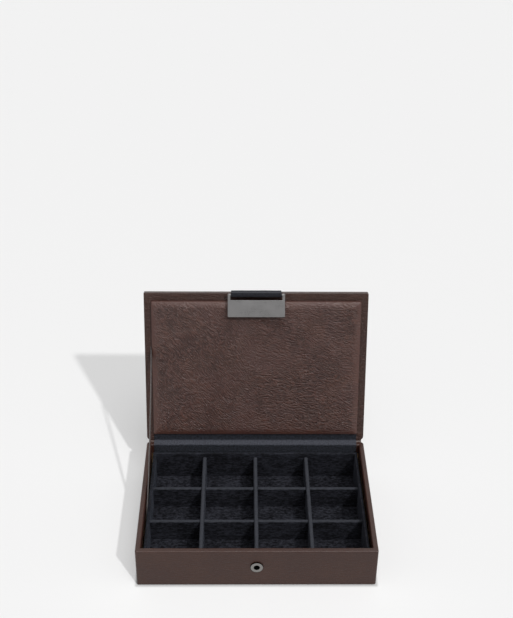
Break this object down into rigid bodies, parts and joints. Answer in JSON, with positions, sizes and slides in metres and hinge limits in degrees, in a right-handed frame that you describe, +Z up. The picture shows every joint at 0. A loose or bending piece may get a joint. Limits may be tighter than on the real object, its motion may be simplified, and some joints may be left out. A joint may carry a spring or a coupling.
{
  "type": "cufflink display box",
  "caption": "Low leather-wrapped box with a felt-lined compartment tray, a padded lid on a cloth hinge, a stay ribbon and a strap closure with a metal press-stud plate.",
  "frame": {"origin": "centre of the base's underside", "axes": "+X to the right along the width, +Y to the hinge at the back, +Z up; the lid stands open"},
  "size_m": [0.18, 0.168, 0.1628],
  "materials": {
    "leather": "satin, fine pebbled grain",
    "board": "raw fibreboard",
    "card": "matt",
    "foam": "open foam",
    "felt": "matt felted wool",
    "sole_cloth": "matt napped cloth",
    "lining_cloth": "matt napped cloth",
    "ribbon": "satin weave",
    "webbing": "fine ribbed weave",
    "plate_metal": "fine brushed, dark plated",
    "stud_metal": "dark plated"
  },
  "bodies": {
    "base": {"base_front_board": "board", "base_back_board": "board", "base_left_board": "board", "base_right_board": "board", "base_floor_board": "board", "base_leather": "leather", "base_sole": "sole_cloth", "tray_front_wall": "felt", "tray_back_wall": "felt", "tray_left_wall": "felt", "tray_right_wall": "felt", "tray_floor": "felt", "long_divider_1": "felt", "long_divider_2": "felt", "long_divider_3": "felt", "cross_divider_1": "felt", "cross_divider_2": "felt", "hinge_spine": "leather", "hinge_lining": "lining_cloth", "stay_ribbon": "ribbon", "snap_socket": "stud_metal", "socket_rivet": "stud_metal"},
    "lid": {"lid_board": "board", "lid_leather": "leather", "lid_pad_board": "card", "lid_pad_foam": "foam", "lid_pad_cover": "leather", "closure_strap": "webbing"},
    "tab": {"strap_loop": "webbing"},
    "plate": {"clasp_plate": "plate_metal", "snap_stud": "stud_metal"}
  },
  "joints": [
    {"name": "lid_hinge", "type": "hinge", "parent": "base", "child": "lid", "pos_m": [0, 0.0637, 0.03595], "axis": [1, 0, 0], "range_deg": [0, 105.78], "deforming": ["hinge_spine", "hinge_lining", "stay_ribbon"]},
    {"name": "strap_fold", "type": "hinge", "parent": "lid", "child": "tab", "pos_m": [0, 0.09402, 0.15921], "axis": [1, 0, 0], "range_deg": [-85.88, 0], "deforming": ["closure_strap"]},
    {"name": "plate_swing", "type": "hinge", "parent": "tab", "child": "plate", "pos_m": [0, 0.09273, 0.16074], "axis": [-1, 0, 0], "range_deg": [-7, 60]}
  ],
  "couplings": [
    {"joint": "strap_fold", "follows": "lid_hinge", "ratio": -0.80998}
  ]
}
